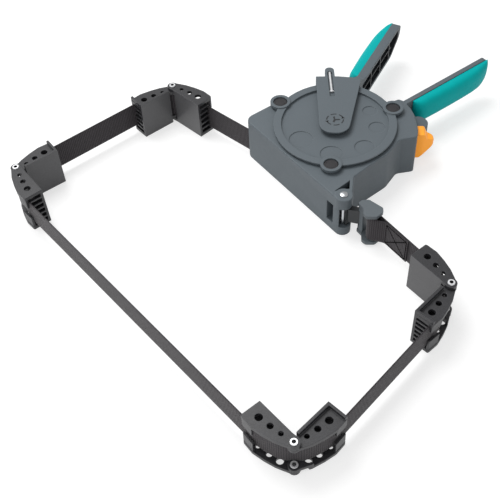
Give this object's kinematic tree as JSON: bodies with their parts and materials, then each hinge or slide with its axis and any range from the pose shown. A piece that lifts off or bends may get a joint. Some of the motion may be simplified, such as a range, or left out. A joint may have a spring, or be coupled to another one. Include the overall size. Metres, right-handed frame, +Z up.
{
  "type": "ratchet band clamp",
  "caption": "Band clamp: a plier-shaped ratchet head reels in webbing that runs through hinged corner jaws and hooks onto the head, to press a frame's corners together.",
  "frame": {"origin": "foot of the reel's axis, on the plane that the clamp lies on", "axes": "+X along the head's straight front towards its nose, +Y towards the handles, +Z up along the reel's axis"},
  "size_m": [0.3808, 0.428, 0.048],
  "materials": {
    "housing": "fine-grained grey glass-filled plastic",
    "grip": "smooth satin teal overmould",
    "trigger": "satin orange plastic",
    "jaw": "black plastic, lightly grained",
    "hook": "grey plastic",
    "webbing": "dark woven polyester webbing",
    "steel": "zinc-plated steel",
    "dark_steel": "black-finished steel",
    "reel": "dark inner plastic"
  },
  "bodies": {
    "root": {"housing_body": "housing", "base_cover": "housing", "base_screw_1": "dark_steel", "base_screw_2": "dark_steel", "base_screw_3": "dark_steel", "base_screw_4": "dark_steel", "reel_cover": "housing", "cover_screw_1": "dark_steel", "cover_screw_2": "dark_steel", "cover_screw_3": "dark_steel", "fixed_grip": "grip", "anchor_pin": "steel", "centre_axle": "steel", "strap": "webbing", "trigger_spring": "steel", "holding_pawl_pin": "steel", "holding_pawl_spring": "steel", "lever_return_spring": "steel", "jaw_1_outer_half": "jaw", "jaw_1_lower_rivet": "steel", "jaw_1_upper_rivet": "steel", "jaw_2_inner_half": "jaw", "jaw_2_lower_rivet": "steel", "jaw_2_upper_rivet": "steel", "jaw_3_outer_half": "jaw", "jaw_3_lower_rivet": "steel", "jaw_3_upper_rivet": "steel", "jaw_4_outer_half": "jaw", "jaw_4_lower_rivet": "steel", "jaw_4_upper_rivet": "steel"},
    "lever": {"lever": "housing", "moving_grip": "grip", "pawl_carrier": "dark_steel", "drive_pawl_pin": "steel", "drive_pawl_spring": "steel", "crank_peg_pin": "steel"},
    "reel": {"reel_drum": "reel", "strap_coil": "webbing", "ratchet_wheel": "steel"},
    "drive_pawl": {"drive_pawl": "steel"},
    "holding_pawl": {"holding_pawl": "steel"},
    "trigger": {"release_trigger": "trigger"},
    "crank": {"crank_peg": "steel"},
    "hook": {"strap_hook": "hook"},
    "jaw_1": {"jaw_1_inner_half": "jaw"},
    "jaw_2": {"jaw_2_outer_half": "jaw"},
    "jaw_3": {"jaw_3_inner_half": "jaw"},
    "jaw_4": {"jaw_4_inner_half": "jaw"}
  },
  "joints": [
    {"name": "lever_squeeze", "type": "hinge", "parent": "root", "child": "lever", "pos_m": [0, 0, 0.0465], "axis": [0, 0, 1], "range_deg": [-27, 0], "stiffness_Nm_per_rad": 0.6, "springref_deg": 20.05, "deforming": ["lever_return_spring"]},
    {"name": "reel_turn", "type": "hinge", "parent": "root", "child": "reel", "pos_m": [0, 0, 0.0186], "axis": [0, 0, 1], "continuous": true},
    {"name": "drive_pawl_lift", "type": "hinge", "parent": "lever", "child": "drive_pawl", "pos_m": [-0.03338, -0.01349, 0.0352], "axis": [0, 0, 1], "range_deg": [0, 12], "stiffness_Nm_per_rad": 0.02, "springref_deg": -11.46, "deforming": ["drive_pawl_spring"]},
    {"name": "trigger_slide", "type": "slide", "parent": "root", "child": "trigger", "axis": [-0.6334, -0.7738, 0], "range_m": [0, 0.003], "stiffness_N_per_m": 800, "springref_m": -0.003, "deforming": ["trigger_spring"]},
    {"name": "holding_pawl_lift", "type": "hinge", "parent": "root", "child": "holding_pawl", "pos_m": [0.02864, 0.03072, 0.0352], "axis": [0, 0, 1], "range_deg": [0, 14.4], "deforming": ["holding_pawl_spring"]},
    {"name": "crank_fold", "type": "hinge", "parent": "lever", "child": "crank", "pos_m": [-0.03244, 0.0234, 0.04685], "axis": [0.585, 0.8111, 0], "range_deg": [0, 90]},
    {"name": "hook_swing", "type": "hinge", "parent": "root", "child": "hook", "pos_m": [0.0695, -0.049, 0.02], "axis": [0, 0, 1], "range_deg": [-15, 15], "deforming": ["strap"]},
    {"name": "jaw_1_fold", "type": "hinge", "parent": "root", "child": "jaw_1", "pos_m": [-0.14119, -0.07851, 0.019], "axis": [0, 0, 1], "range_deg": [-35, 20], "deforming": ["strap"]},
    {"name": "jaw_2_fold", "type": "hinge", "parent": "root", "child": "jaw_2", "pos_m": [-0.13461, -0.24421, 0.019], "axis": [0, 0, 1], "range_deg": [-35, 20], "deforming": ["strap"]},
    {"name": "jaw_3_fold", "type": "hinge", "parent": "root", "child": "jaw_3", "pos_m": [0.21801, -0.2182, 0.019], "axis": [0, 0, 1], "range_deg": [-35, 20], "deforming": ["strap"]},
    {"name": "jaw_4_fold", "type": "hinge", "parent": "root", "child": "jaw_4", "pos_m": [0.18659, -0.0441, 0.019], "axis": [0, 0, 1], "range_deg": [-20, 35], "deforming": ["strap"]}
  ],
  "couplings": [
    {"joint": "holding_pawl_lift", "follows": "trigger_slide", "rad_per_m": 83.333}
  ]
}
